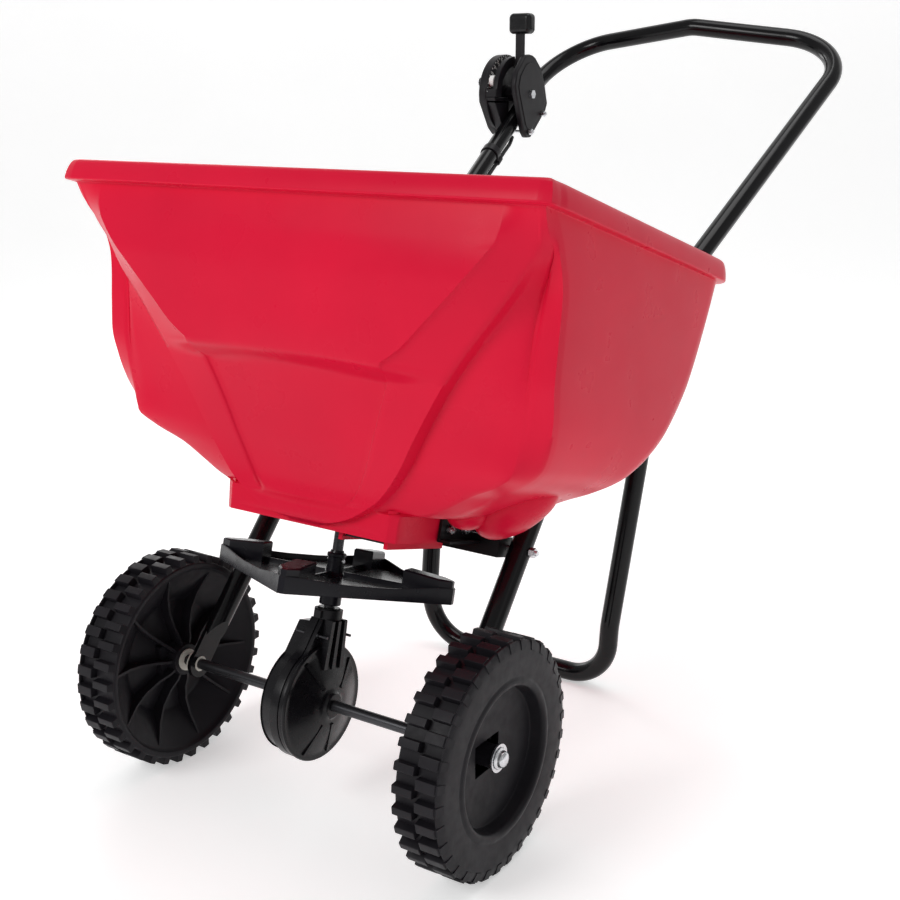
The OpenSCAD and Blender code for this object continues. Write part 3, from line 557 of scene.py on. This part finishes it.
def build_hopper():
    rim = mirrored(half_outline(RIM))
    ways = outward(rim)
    count = len(rim)
    levels = hopper_levels()
    rows = [[(x, v, w) for x, v in mirrored(half_outline(w))] for w in levels]
    lip = [(531.6, 0.4), (532, 1.4), (532.2, 8.6), (533, 9.9), (534.6, 10.3), (541, 9.6), (547, 8.2),
           (551.6, 6.4), (554.2, 4.6), (555.6, 2.4), (556.2, 0.2), (555.6, -1.8), (553.6, -3.2),
           (550, -3.8)]
    for w, grow in lip:
        rows.append([(x + way.x * grow, v + way.y * grow, w) for (x, v), way in zip(rim, ways)])
    for w in reversed(levels[:-INNER_SHORT]):
        outline = mirrored(half_outline(w))
        rows.append([(x - way.x * WALL, v - way.y * WALL, w + WALL)
                     for (x, v), way in zip(outline, ways)])
    points = [level(*p) for row in rows for p in row]
    faces = []
    for k in range(len(rows)):
        here = k * count
        there = (k + 1) % len(rows) * count
        for i in range(count):
            j = (i + 1) % count
            faces.append((here + i, here + j, there + j, there + i))
    shell = tidy_faces(new_mesh("shell", points, faces, looks["hopper_red"]))
    lobes = [lobe(side * x, v, reach_x, reach_v, depth)
             for x, v, reach_x, reach_v, depth in LOBES for side in (1, -1)]
    hopper = join_meshes("hopper_shell", [shell, hopper_floor()] + lobes)
    shade(hopper, 55)
    weighted(hopper)
    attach(hopper, "chassis")
    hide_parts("hopper")


build_hopper()


# Wheels: the wheel's own x runs from its inner face, 0, to its outer face, 58

WHEEL_IN = 192.0
TYRE_R = 127
LUG_FOOT_R = 116.5
LUG_TIP_R = 126.9
LUGS = 34
# A row's lugs: along from, along to, half width at the foot and half width at the tip
INNER_LUG = (2.8, 28.2, 6.0, 4.4)
OUTER_LUG = (29.6, 53.4, 6.6, 5.6)
WHEEL_RIBS = 10
RIB_HALF = 1.5


def on_hub(side):
    """Places for (along, a, b): along from the wheel's inner face, a forward and b up."""
    return lambda along, a, b: on_axle(side * (WHEEL_IN + along), -a, AXLE_Z + b)


def wheel_profile(bore):
    """Closed section of a wheel as (radius, along), with rounded shoulders and a rolled lip."""
    return [
        (bore, 6.4), (bore + 0.5, 6), (18.4, 6), (19, 6.8), (19.6, 15), (20.4, 24.5), (22, 26.2),
        (40, 29.2), (62, 33), (67, 33.6), (70, 32.6), (90, 19.6), (107, 9.2), (110.4, 6),
        (111.4, 3.2), (112.6, 2.2), (116.6, 2), (118, 2.8), (118.5, 4), (118.5, 50),
        (119, 51), (122.6, 51.6), (123.8, 52.4), (123.6, 53.6), (120, 55), (116, 56), (110, 56.5),
        (100, 56.7), (90, 56.6), (87.4, 56.1), (85.6, 56.2), (84, 57.2), (81.4, 57.8), (79, 57.4),
        (77.4, 56.2), (76.6, 54.4), (76, 52), (74.6, 42.4), (73.6, 40.8), (71, 40), (58, 38.4),
        (46, 36.8), (36, 35.9), (24, 35.4), (13, 35.2), (12.2, 36), (12, 44.6),
        (11.4, 46), (bore + 0.5, 46), (bore, 45.6)]


def lug_block(place, turn, x0, x1, foot_half, tip_half):
    """One tread lug, its foot sunk in the tread, with every top edge rounded off."""
    bm = bmesh.new()
    corners = []
    for r, half, trim in ((LUG_FOOT_R, foot_half, 0.0), (LUG_TIP_R, tip_half, 0.8)):
        for x in (x0 + trim, x1 - trim):
            for s in (-1, 1):
                corners.append(bm.verts.new((x, s * half, r)))
    a, b, c, d, e, f, g, h = corners
    for face in ((a, b, d, c), (e, g, h, f), (a, e, f, b), (c, d, h, g), (a, c, g, e), (b, f, h, d)):
        bm.faces.new(face)
    if x1 == OUTER_LUG[1]:
        # Only the outer row has a toe that laps over the shoulder
        toe = [(x1 - 4, -5, 125.8), (x1 - 4, 5, 125.8), (x1 + 1.4, 5, 124.6), (x1 + 1.4, -5, 124.6),
               (x1 + 3.5, -4.6, 114.5), (x1 + 3.5, 4.6, 114.5), (x1 - 4, -5, 112), (x1 - 4, 5, 112)]
        p, q, u, t, m, n, k, j = [bm.verts.new(place_of_toe) for place_of_toe in toe]
        for face in ((p, q, u, t), (t, u, n, m), (p, t, m, k), (q, j, n, u), (k, m, n, j), (p, k, j, q)):
            bm.faces.new(face)
    edges = [edge for edge in bm.edges if max(v.co.z for v in edge.verts) > LUG_TIP_R - 2]
    bmesh.ops.bevel(bm, geom=edges, offset=1.1, segments=2, affect="EDGES", profile=0.6)
    for vert in bm.verts:
        x, s, r = vert.co
        angle = turn + s / TYRE_R
        vert.co = place(x, r * math.sin(angle), r * math.cos(angle))
    bmesh.ops.recalc_face_normals(bm, faces=bm.faces)
    mesh = bpy.data.meshes.new("lug")
    bm.to_mesh(mesh)
    bm.free()
    obj = bpy.data.objects.new("lug", mesh)
    mesh.materials.append(looks["wheel_black"])
    bpy.context.scene.collection.objects.link(obj)
    return obj


def block(name, place, along, a, b):
    """Plain box between limits, used to cut with or to be cut."""
    points = [place(i, j, k) for i in along for j in a for k in b]
    faces = [(0, 1, 3, 2), (4, 6, 7, 5), (0, 4, 5, 1), (2, 3, 7, 6), (0, 2, 6, 4), (1, 5, 7, 3)]
    return tidy_faces(new_mesh(name, points, faces, looks["wheel_black"]))


def wheel_rib(place, turn):
    """One thin web between the hub and the rim, on the wheel's inner face."""
    outline = [(18.5, 8.6), (18.5, 26.6), (40, 30.6), (66, 34.6), (71, 33.4), (109, 9.4), (104, 10)]
    outline += [(80, 18), (60, 20), (40, 16), (26, 9.6)]
    rows = [[place(x, r * math.sin(turn + s / r), r * math.cos(turn + s / r)) for r, x in outline]
            for s in (-RIB_HALF, RIB_HALF)]
    return solid_through("rib", rows, looks["wheel_black"])


def build_wheel(name, side, bore, body, node):
    place = on_hub(side)
    tyre = lathe("tyre", wheel_profile(bore), place, 136, looks["wheel_black"])
    tidy_faces(tyre)
    recess = [block("recess", place, (22, 60), (-19, 26), (-16, 19)) for _ in range(2)]
    tub = block("tub", place, (20, 33), (-21.5, 28.5), (-18.5, 21.5))
    cut(tyre, recess[:1])
    cut(tub, recess[1:])
    boss_profile = [(bore, 7), (12, 7), (12.4, 8), (12.4, 44), (12, 45.4), (11, 45.9), (bore, 45.9)]
    boss = lathe("boss", boss_profile, place, 64, looks["wheel_black"])
    pieces = [tyre, tub, tidy_faces(boss)]
    pitch = 2 * math.pi / LUGS
    for i in range(LUGS):
        pieces.append(lug_block(place, i * pitch, *INNER_LUG))
        pieces.append(lug_block(place, (i + 0.5) * pitch, *OUTER_LUG))
    for i in range(WHEEL_RIBS):
        pieces.append(wheel_rib(place, (i + 0.25) * math.pi / 5))
    wheel = join_meshes(name, pieces)
    shade(wheel, 38)
    weighted(wheel)
    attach(wheel, body)
    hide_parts(node)


build_wheel("wheel_right_look", 1, 6.5, "drive_axle", "wheel_right")
build_wheel("wheel_left_look", -1, 9.1, "free_wheel", "wheel_left")


def build_cap_nut(name, side, node):
    """Pressed cap with a flange and a low dome."""
    place = on_hub(side)
    profile = [(6.4, 48.7), (11.4, 48.7), (11.6, 49.2), (11, 50), (9.4, 50.3), (8.8, 51), (8.6, 53.2),
               (8, 54.6), (6.6, 55.8), (4.4, 56.5), (2, 56.9), (0.01, 57), (0.01, 54), (6.4, 53)]
    cap = tidy_faces(lathe(name, profile, place, 48, looks["zinc"]), 0.00003)
    shade(cap, 40)
    weighted(cap)
    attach(cap, "drive_axle")
    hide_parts(node)


build_cap_nut("cap_nut_right_look", 1, "cap_nut_right")
build_cap_nut("cap_nut_left_look", -1, "cap_nut_left")


# Impeller: a square plate with a deep edge wall and a sloping block on each corner

# Levels of the plate's top and of its sunk floor
PLATE = 153.0
SUNK = PLATE - 11.6
CORNER = 144
CORNER_TRIM = 6
# How far the middle of each edge wall dips
DIP = 5
IMPELLER_TURN = math.radians(15)


def impeller_place(a, b, w):
    """Metres of a place given along the plate's own diagonals."""
    x = a * math.cos(IMPELLER_TURN) - b * math.sin(IMPELLER_TURN)
    v = a * math.sin(IMPELLER_TURN) + b * math.cos(IMPELLER_TURN)
    return level(x, v, w)


def square_outline(corner, trim, shrink):
    """Square standing on its corners, each cut back by trim; rows of (a, b, nearness to mid-edge)."""
    reach = corner - shrink
    corners = []
    for k in range(4):
        turn = k * math.pi / 2
        for s in (-1, 1):
            a = reach - trim * 0.6
            b = s * trim * 0.6
            corners.append((a * math.cos(turn) - b * math.sin(turn),
                            a * math.sin(turn) + b * math.cos(turn)))
    outline = []
    for k in range(4):
        outline.append((*corners[2 * k], 0.0))
        start, end = corners[2 * k + 1], corners[(2 * k + 2) % 8]
        for t in [i / 10 for i in range(10)]:
            a = start[0] + (end[0] - start[0]) * t
            b = start[1] + (end[1] - start[1]) * t
            outline.append((a, b, ease(0.0, 0.4, min(t, 1 - t))))
    return outline


def prism(name, outlines, place, material):
    """Closed solid through outlines of (a, b, w), all with the same number of places."""
    return solid_through(name, [[place(*p) for p in outline] for outline in outlines], material)


def build_impeller():
    black = looks["impeller_black"]

    def at(shrink, w, dip=0.0):
        return [(a, b, w - dip * mid) for a, b, mid in square_outline(CORNER, CORNER_TRIM, shrink)]

    wall = [at(4.5, PLATE - 14.6), at(4.5, PLATE - 17.6), at(3.9, PLATE - 18.2), at(0.4, PLATE - 18.2),
            at(0, PLATE - 17.6), at(0, PLATE - 1.2, DIP), at(0.9, PLATE, DIP), at(2.6, PLATE, DIP),
            at(3.4, PLATE - 0.8, DIP), at(4.2, PLATE - 11)]
    pieces = [prism("plate", wall, impeller_place, black)]
    for k in range(4):
        turn = k * math.pi / 2

        def corner_place(a, b, w, turn=turn):
            return impeller_place(a * math.cos(turn) - b * math.sin(turn),
                                  a * math.sin(turn) + b * math.cos(turn), w)

        foot = [(126, -12, SUNK), (138.6, -3.2, SUNK), (138.6, 3.2, SUNK), (126, 12, SUNK),
                (84, 12, SUNK), (84, -12, SUNK)]
        low = [(a, b, PLATE + (10 if a < 100 else 6.4)) for a, b, w in foot]
        crown = [(125, -10.6, PLATE + 8.4), (137, -2.6, PLATE + 7.4), (137, 2.6, PLATE + 7.4),
                 (125, 10.6, PLATE + 8.4), (85.4, 10.6, PLATE + 11.6), (85.4, -10.6, PLATE + 11.6)]
        pieces.append(prism("block", [foot, low, crown], corner_place, black))
        rib = [(12, -1.4), (86, -1.4), (86, 1.4), (12, 1.4)]
        rib_layers = [[(a, b * share, w) for a, b in rib]
                      for share, w in ((1, SUNK), (0.8, PLATE - 6), (0.5, PLATE - 5.4))]
        pieces.append(prism("rib", rib_layers, corner_place, black))
    hub = [(6.05, 109), (11.6, 109), (12.2, 109.8), (12.2, 132), (13.4, 137), (18, 138.4), (18, 141.4),
           (12, 143), (9.9, 146), (9.6, 156), (9.6, 162.4), (10.8, 163.4), (10.8, 166.2), (10.2, 167),
           (8, 167.4), (7.4, 169.8), (6.05, 170)]
    pieces.append(tidy_faces(lathe("hub", hub, lambda w, a, b: level(a, b, w), 56, black)))
    impeller = join_meshes("impeller_look", pieces)
    shade(impeller, 32)
    weighted(impeller)
    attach(impeller, "impeller_group")
    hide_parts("impeller")


build_impeller()


# Gear housing halves

def teardrop(radius, low_w, top_w, top_half):
    """Outline of (v, w) round the axle with a neck going up."""
    count = 56
    lean_in = math.radians(33)
    outline = []
    for i in range(count + 1):
        turn = lean_in + (2 * math.pi - 2 * lean_in) * i / count
        outline.append((radius * math.sin(turn), radius * math.cos(turn)))
    outline += [(-radius * 0.5, low_w), (-top_half, top_w), (top_half, top_w), (radius * 0.5, low_w)]
    return outline


def slab(name, outline, layers, material):
    """Closed solid with a (v, w) outline, through layers of (x, share of the outline)."""
    rows = [[level(x, v * share, w * share) for v, w in outline] for x, share in layers]
    return solid_through(name, rows, material)


def case_neck(own_side, material):
    """One half's part of the neck round the impeller shaft; own_side keeps x off the split."""
    profile = [(6.3, 62), (13, 62), (13, 105.2), (12.2, 106), (6.3, 106)]
    return lathe("neck", profile, lambda w, a, b: level(own_side(a), b, w), 48, material)


def case_spoke(turn, material):
    """Web on the right half's dish, tall at the hub and low at the rim."""
    hub_r, rim_r, half = 24, 61, 2
    corners = []
    for r, s in ((hub_r, -1), (hub_r, 1), (rim_r, 1), (rim_r, -1)):
        angle = turn + s * half / r
        corners.append((r * math.sin(angle), r * math.cos(angle)))
    points = [level(8.0, *corner) for corner in corners]
    points += [level(x, *corner) for x, corner in zip((22.4, 22.4, 11.4, 11.4), corners)]
    faces = [(0, 1, 2, 3), (4, 7, 6, 5), (0, 4, 5, 1), (1, 5, 6, 2), (2, 6, 7, 3), (3, 7, 4, 0)]
    return tidy_faces(new_mesh("spoke", points, faces, material))


def build_gear_housing():
    black = looks["case_black"]
    outline = teardrop(65.4, 60, 94, 15.5)
    left_layers = [(-28.4, 0.91), (-27.6, 0.925), (-12.6, 0.945), (-11.8, 0.95), (-11.4, 0.99),
                   (-10.8, 1.0), (-1.4, 1.0), (-0.6, 0.992)]
    left_boss = [(6.5, -36), (13.4, -36), (14, -35.2), (14, -30.5), (52, -30), (60, -28.4), (62, -27),
                 (6.5, -27)]
    left_look = join_meshes("gearcase_left_look", [
        slab("left", outline, left_layers, black),
        tidy_faces(lathe("boss", left_boss, level, 72, black)),
        case_neck(lambda x: min(x, -0.2), black)])
    dish = [(6.5, 5), (65.2, 5), (66.4, 6.2), (66.6, 8), (65.6, 9.6), (63.4, 10), (61, 9.4), (57, 10.4),
            (44, 15.2), (32, 19.2), (25, 20.8), (21, 21.2), (17.4, 22.2), (14.6, 24), (13.6, 26.4),
            (12.6, 27), (6.5, 27)]
    pieces = [slab("right", outline, [(0.6, 0.992), (1.2, 1.0), (5.2, 1.0), (6, 0.994)], black),
              tidy_faces(lathe("dish", dish, level, 96, black))]
    for v0, v1 in ((-17, -11), (-3, 3), (11, 17)):
        web = [(v0, 40), (v0 * 0.8, 94), (v1 * 0.8, 94), (v1, 40)]
        pieces.append(slab("web", web, [(4, 1.0), (17, 1.0), (18, 0.99)], black))
    for degrees in (40, 160, 200, 320):
        pieces.append(case_spoke(math.radians(degrees), black))
    pieces.append(case_neck(lambda x: max(x, 0.2), black))
    right_look = join_meshes("gearcase_right_look", pieces)
    for look, node in ((left_look, "gearcase_left"), (right_look, "gearcase_right")):
        shade(look, 36)
        weighted(look)
        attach(look, "chassis")
        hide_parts(node)


build_gear_housing()


# Rate control on the left leg; outlines are (back, up) from the pivot

PIVOT = (813.0, 779.0)


def at_pivot(x, back, up):
    """Metres of a place given back and up from the lever's pivot."""
    return on_axle(x, PIVOT[0] + back, PIVOT[1] + up)


def dial_slab(name, outline, x0, x1, material, bevel, segments=3):
    """Flat piece with an outline of (back, up), from x0 to x1, with rounded edges."""
    obj = solid_through(name, [[at_pivot(x, *p) for p in outline] for x in (x0, x1)], material)
    rounded(obj, bevel, segments)
    return apply_modifiers(obj)


def arc_places(radius, start, end, count):
    """Places of (back, up) along an arc round the pivot, between angles in degrees."""
    return [(radius * math.cos(math.radians(start + (end - start) * i / count)),
             radius * math.sin(math.radians(start + (end - start) * i / count))) for i in range(count + 1)]


def build_dial():
    black = looks["plastic_black"]
    round_top = arc_places(60.4, 0, 180, 40)
    taper = [(-59, -12), (-33, -51.6), (-20, -61.6), (2, -61.6), (53, -24)]
    plate = dial_slab("plate", round_top + taper, -265.6, -252.2, black, 2.2)
    band = arc_places(60.6, 52, 172, 40) + arc_places(47.6, 172, 52, 40)
    ledge = dial_slab("ledge", band, -256, -250.5, black, 0.6)
    lower = arc_places(60.6, 186, 250, 16) + arc_places(40, 250, 186, 16)
    rim = dial_slab("rim", lower, -256, -250.6, black, 0.8)
    shroud = arc_places(57.6, 93, 184, 36) + arc_places(43, 184, 93, 36)
    guard = dial_slab("guard", shroud, -241.6, -233.6, black, 1.0, 2)
    bridge = arc_places(59.4, 172, 184, 6) + arc_places(43, 184, 172, 6)
    post = dial_slab("post", bridge, -253, -234.4, black, 0.5, 1)
    jaw_outline = [(-58, -12), (-34, -49), (-22, -58), (-14, -58), (-16, -12)]
    jaw = dial_slab("jaw", jaw_outline, -253, -236.6, black, 1.6, 2)
    sill_outline = [(-60, -4.4), (-58.4, -10), (-18, -10), (-18, -4.4)]
    sill = dial_slab("sill", sill_outline, -253, -236, black, 0.6, 1)
    hub_profile = [(0.01, -253), (12, -253), (14.4, -251.2), (14.4, -247.4), (13, -246.2), (0.01, -246.2)]
    hub = tidy_faces(lathe("hub", hub_profile, at_pivot, 48, black))
    housing = join_meshes("dial_housing_look", [plate, ledge, rim, guard, post, jaw, sill, hub])
    shade(housing, 35)
    weighted(housing)
    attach(housing, "chassis")
    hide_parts("dial_housing")

    edge = [(-20, 56), (-12, 59), (-4, 60), (6, 58.6), (14, 55), (32, 40), (44, 16), (54, -14), (48, -26),
            (2, -66), (-12, -66), (-20, -58), (-44, 0), (-48, 14), (-42, 34)]
    cover = dial_slab("cover", edge, -215.4, -206, black, 2.6, 4)
    inner = [(b * 0.8, u * 0.8) for b, u in edge]
    panel = dial_slab("panel", inner, -208, -204.9, black, 0.9, 2)
    cover_look = join_meshes("dial_cover_look", [cover, panel])
    shade(cover_look, 35)
    weighted(cover_look)
    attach(cover_look, "chassis")
    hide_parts("dial_cover")


build_dial()


def glyph_strokes(digit):
    """A digit as strokes on a 2 by 4 field, so nothing is lettered by a font."""
    bars = {"a": ((0, 4), (2, 4)), "b": ((2, 4), (2, 2)), "c": ((2, 2), (2, 0)), "d": ((0, 0), (2, 0)),
            "e": ((0, 2), (0, 0)), "f": ((0, 4), (0, 2)), "g": ((0, 2), (2, 2))}
    lit = {0: "abcdef", 1: "bc", 2: "abged", 3: "abgcd", 4: "fgbc", 5: "afgcd", 6: "afgedc", 7: "abc",
           8: "abcdefg", 9: "abcdfg"}
    return [bars[bar] for bar in lit[digit]]


FIRST_NUMBER = 170
NUMBER_STEP = 12.4
PRINT_X = (-250.2, -249.5)


def scale_place(turn, r, x):
    return at_pivot(x, r * math.cos(turn), r * math.sin(turn))


def mark(start, end, half):
    """A raised printed bar between two (turn, radius) places on the scale ring."""
    (t0, r0), (t1, r1) = start, end
    way = Vector(((t1 - t0) * r0, r1 - r0)).normalized()
    side = Vector((-way.y, way.x)) * half
    corners = []
    for (t, r), s in (((t0, r0), -1), ((t0, r0), 1), ((t1, r1), 1), ((t1, r1), -1)):
        along = -half if (t, r) == (t0, r0) else half
        corners.append((t + (s * side.x + along * way.x) / r0, r + s * side.y + along * way.y))
    points = [scale_place(t, r, x) for x in PRINT_X for t, r in corners]
    return tidy_faces(new_mesh("mark", points, BOX_FACES, looks["white_plastic"]))


def build_scale_marks():
    """Numbers 1 to 10 and ticks round the scale, on its outer face."""
    marks = []
    for number in range(1, 11):
        turn = math.radians(FIRST_NUMBER - (number - 1) * NUMBER_STEP)
        for offset in (-0.1, 0.0, 0.1):
            marks.append(mark((turn + offset, 58.4), (turn + offset, 59.4), 0.4))
        digits = [int(c) for c in str(number)]
        for column, digit in enumerate(digits):
            shift = (column - (len(digits) - 1) / 2) * 4.6
            for (x0, y0), (x1, y1) in glyph_strokes(digit):
                ends = []
                for px, py in ((x0, y0), (x1, y1)):
                    r = 50.6 + py * 1.5
                    ends.append((turn - (shift + (px - 1) * 1.4) / r, r))
                marks.append(mark(ends[0], ends[1], 0.5))
    ink = join_meshes("scale_numbers", marks)
    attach(ink, "chassis")


build_scale_marks()


def build_knob():
    """Rounded square grip on top of the lever's stem."""
    points = []
    for x in (-243.5, -204.5):
        points += [at_pivot(x, *p) for p in ((-11.5, 90.5), (11.5, 90.5), (11.5, 121.5), (-11.5, 121.5))]
    knob = tidy_faces(new_mesh("lever_knob_look", points, BOX_FACES, knob_black))
    rounded(knob, 7.5, 7)
    apply_modifiers(knob)
    shade(knob, 60)
    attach(knob, "control_lever")
    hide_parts("lever_knob")


build_knob()


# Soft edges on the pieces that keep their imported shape

for node, width in (("lever_arm", 0.7), ("rate_stop", 0.5)):
    rounded(frame["nodes"][node], width, 2)
for node, obj in frame["nodes"].items():
    if not obj.modifiers:
        shade(obj, 32)


# Camera, floor and light, in metres

FLOOR_GLOW = 0.42
WORLD_STRENGTH = 0.4
CAMERA_PLACE = (0.862946, -1.458307, 0.780799)
CAMERA_TILT = 74.75
CAMERA_TURN = 33.51
LENS = 52.36
SENSOR = 36


def area_light(name, place, target, size, power):
    data = bpy.data.lights.new(name, "AREA")
    data.shape = "RECTANGLE"
    data.size, data.size_y = size
    data.energy = power
    light = bpy.data.objects.new(name, data)
    light.location = place
    light.rotation_euler = (Vector(target) - Vector(place)).to_track_quat("-Z", "Y").to_euler()
    bpy.context.scene.collection.objects.link(light)
    return light


def pale(name, value, roughness):
    surface = Surface(name, (value, value, value), roughness, specular=0.1)
    surface.shader.inputs["Emission Color"].default_value = (1, 1, 1, 1)
    surface.shader.inputs["Emission Strength"].default_value = FLOOR_GLOW
    return surface.mottle(2, 0.01).material


def build_stage():
    """Pale floor that curves up behind the object, square to the camera."""
    span = 9.0
    back = 4.5
    cove = 1.6
    top = 7.0
    rows = [(-span, 0.0), (back - cove, 0.0)]
    rows += [(back - cove + cove * math.sin(math.radians(a)), cove - cove * math.cos(math.radians(a)))
             for a in range(10, 91, 10)]
    rows.append((back, top))
    turn = Matrix.Rotation(math.radians(33.5), 3, "Z")
    points = [turn @ Vector((x, y, z)) for y, z in rows for x in (-span, span)]
    faces = [(2 * i, 2 * i + 1, 2 * i + 3, 2 * i + 2) for i in range(len(rows) - 1)]
    floor = new_mesh("floor", points, faces, pale("floor_paper", 0.86, 0.7))
    floor.data.shade_smooth()


build_stage()
camera_data = bpy.data.cameras.new("camera")
camera_data.lens = LENS
camera_data.sensor_width = SENSOR
camera = bpy.data.objects.new("camera", camera_data)
camera.location = CAMERA_PLACE
camera.rotation_euler = (math.radians(CAMERA_TILT), 0, math.radians(CAMERA_TURN))
bpy.context.scene.collection.objects.link(camera)
bpy.context.scene.camera = camera

world = bpy.data.worlds.new("studio")
world.use_nodes = True
world.node_tree.nodes["Background"].inputs["Color"].default_value = (1, 1, 1, 1)
world.node_tree.nodes["Background"].inputs["Strength"].default_value = WORLD_STRENGTH
bpy.context.scene.world = world
centre = (0, 0, 0.45)
lights = [
    area_light("key", (-0.9, -2.9, 2.0), centre, (1.2, 1.2), 37),
    area_light("fill", (3.0, -0.9, 1.3), centre, (1.0, 1.6), 1.5),
    area_light("top", (0.2, 0.4, 3.0), centre, (1.6, 1.6), 20),
    area_light("rim", (-2.6, 1.4, 1.5), centre, (0.8, 1.8), 12),
]
bpy.context.scene.view_settings.view_transform = "Standard"
